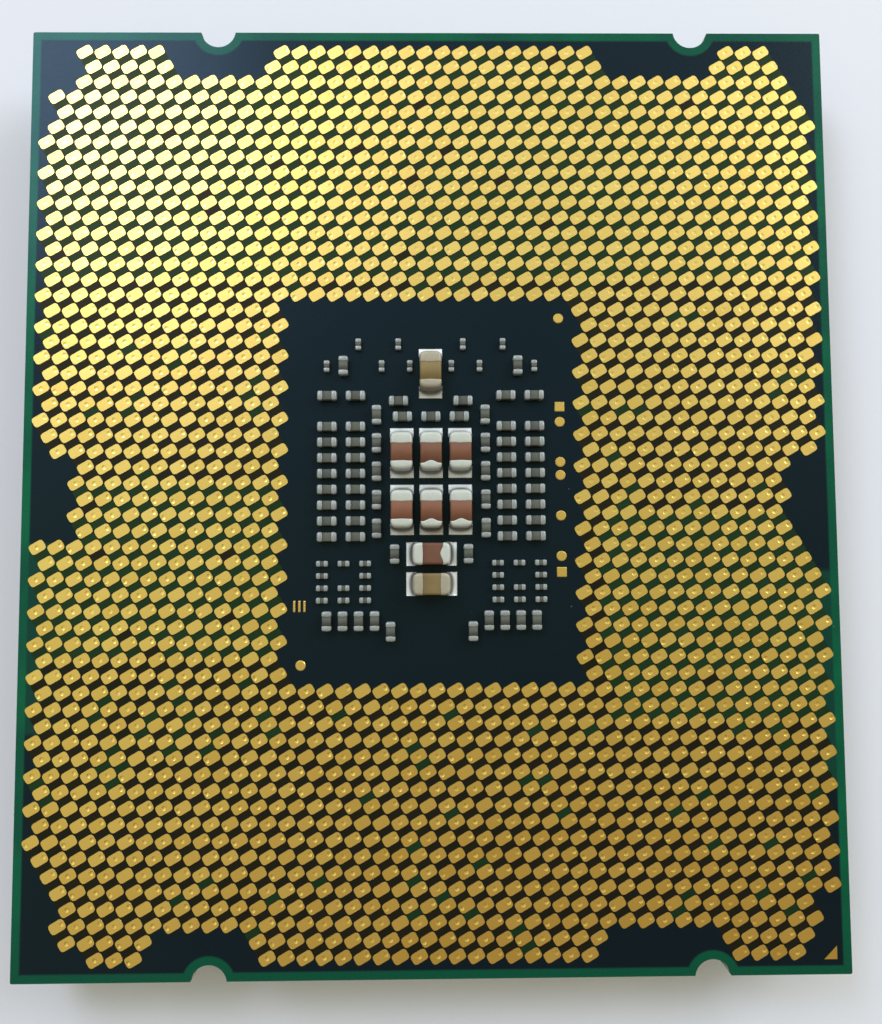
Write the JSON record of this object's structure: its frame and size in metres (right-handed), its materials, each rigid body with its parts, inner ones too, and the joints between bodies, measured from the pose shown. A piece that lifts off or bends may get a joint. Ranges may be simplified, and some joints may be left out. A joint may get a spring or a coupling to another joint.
{
  "type": "computer processor",
  "caption": "Rectangular land grid processor package: laminate with keying notches, staggered gold lands round a bay of chip capacitors, and a stepped metal lid over the die.",
  "frame": {"origin": "centre of the lid's flat contact face, on which the part lies", "axes": "+X across the package, +Y along its long side, +Z out of the face with the contact lands"},
  "size_m": [0.045, 0.0524, 0.0063],
  "materials": {
    "solder_mask": "satin solder mask over laminate",
    "gold": "satin gold plating",
    "nickel": "satin nickel plating over copper",
    "sealant": "matt silicone",
    "indium": "soft solder",
    "silicon": "ground silicon",
    "underfill": "epoxy",
    "brown_ceramic": "fired ceramic",
    "tan_ceramic": "fired ceramic",
    "slate_ceramic": "fired ceramic",
    "tin": "matt tin plating",
    "solder": "bright solder"
  },
  "bodies": {
    "root": {"substrate": "solder_mask", "lands_top": "gold", "lands_left": "gold", "lands_right": "gold", "lands_bottom": "gold", "alignment_dots": "gold", "test_pads_round": "gold", "test_pads_square": "gold", "plain_bars": "gold", "first_contact_mark": "gold", "heat_spreader": "nickel", "lid_sealant": "sealant", "thermal_solder": "indium", "die": "silicon", "die_underfill": "underfill", "bulk_body_north": "tan_ceramic", "bulk_body_upper_left": "brown_ceramic", "bulk_body_upper_middle": "brown_ceramic", "bulk_body_upper_right": "brown_ceramic", "bulk_body_lower_left": "brown_ceramic", "bulk_body_lower_middle": "brown_ceramic", "bulk_body_lower_right": "brown_ceramic", "bulk_body_south_inner": "brown_ceramic", "bulk_body_south_outer": "tan_ceramic", "bulk_ends_north": "tin", "bulk_ends_upper_left": "tin", "bulk_ends_upper_middle": "tin", "bulk_ends_upper_right": "tin", "bulk_ends_lower_left": "tin", "bulk_ends_lower_middle": "tin", "bulk_ends_lower_right": "tin", "bulk_ends_south_inner": "tin", "bulk_ends_south_outer": "tin", "bulk_solder_fillets": "solder", "mid_upright_bodies": "slate_ceramic", "mid_upright_ends": "tin", "mid_level_bodies": "slate_ceramic", "mid_level_ends": "tin", "small_upright_bodies": "slate_ceramic", "small_upright_ends": "tin", "small_level_bodies": "slate_ceramic", "small_level_ends": "tin"}
  },
  "joints": []
}
